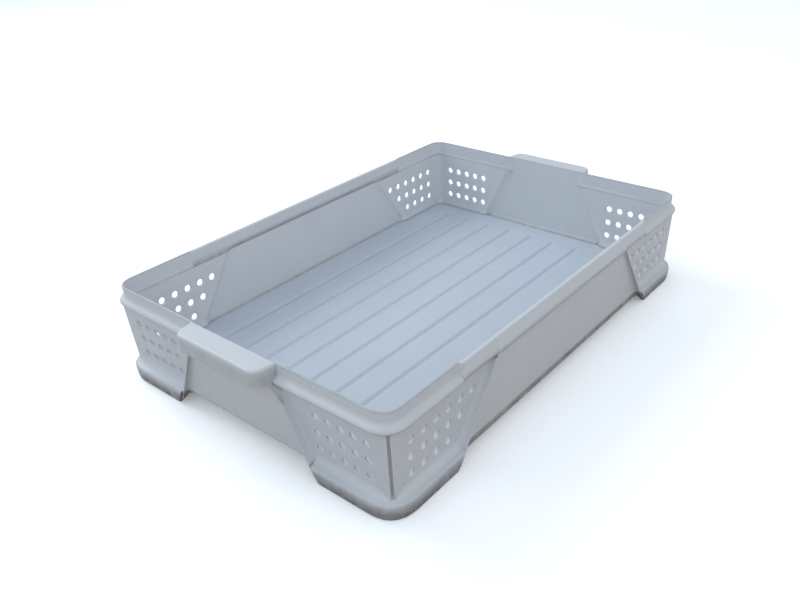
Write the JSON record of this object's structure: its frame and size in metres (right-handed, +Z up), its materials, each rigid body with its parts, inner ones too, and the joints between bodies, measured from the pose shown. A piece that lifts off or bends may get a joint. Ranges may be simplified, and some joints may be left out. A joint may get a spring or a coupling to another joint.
{
  "type": "stacking harvest crate",
  "caption": "Shallow white plastic crate with perforated corner panels, a hand hold on each end, a grooved floor and hollow corner feet that stack over the collar of the crate below.",
  "frame": {"origin": "middle of the footprint, on the surface that the feet stand on", "axes": "+X along the crate towards the right handle, +Y across it towards the rear side, +Z up"},
  "size_m": [0.6, 0.4, 0.114],
  "materials": {
    "crate_plastic": "satin, white polyethylene as moulded"
  },
  "bodies": {
    "root": {"collar_front_left": "crate_plastic", "collar_front_right": "crate_plastic", "collar_rear_left": "crate_plastic", "collar_rear_right": "crate_plastic", "end_panel_front_left": "crate_plastic", "end_panel_front_right": "crate_plastic", "end_panel_rear_left": "crate_plastic", "end_panel_rear_right": "crate_plastic", "end_wall_left": "crate_plastic", "end_wall_right": "crate_plastic", "flange_front_left": "crate_plastic", "flange_front_right": "crate_plastic", "flange_rear_left": "crate_plastic", "flange_rear_right": "crate_plastic", "floor": "crate_plastic", "foot_front_left": "crate_plastic", "foot_front_right": "crate_plastic", "foot_rear_left": "crate_plastic", "foot_rear_right": "crate_plastic", "handle_left": "crate_plastic", "handle_right": "crate_plastic", "side_panel_front_left": "crate_plastic", "side_panel_front_right": "crate_plastic", "side_panel_rear_left": "crate_plastic", "side_panel_rear_right": "crate_plastic", "side_rim_front": "crate_plastic", "side_rim_rear": "crate_plastic", "side_wall_front": "crate_plastic", "side_wall_rear": "crate_plastic"}
  },
  "joints": []
}
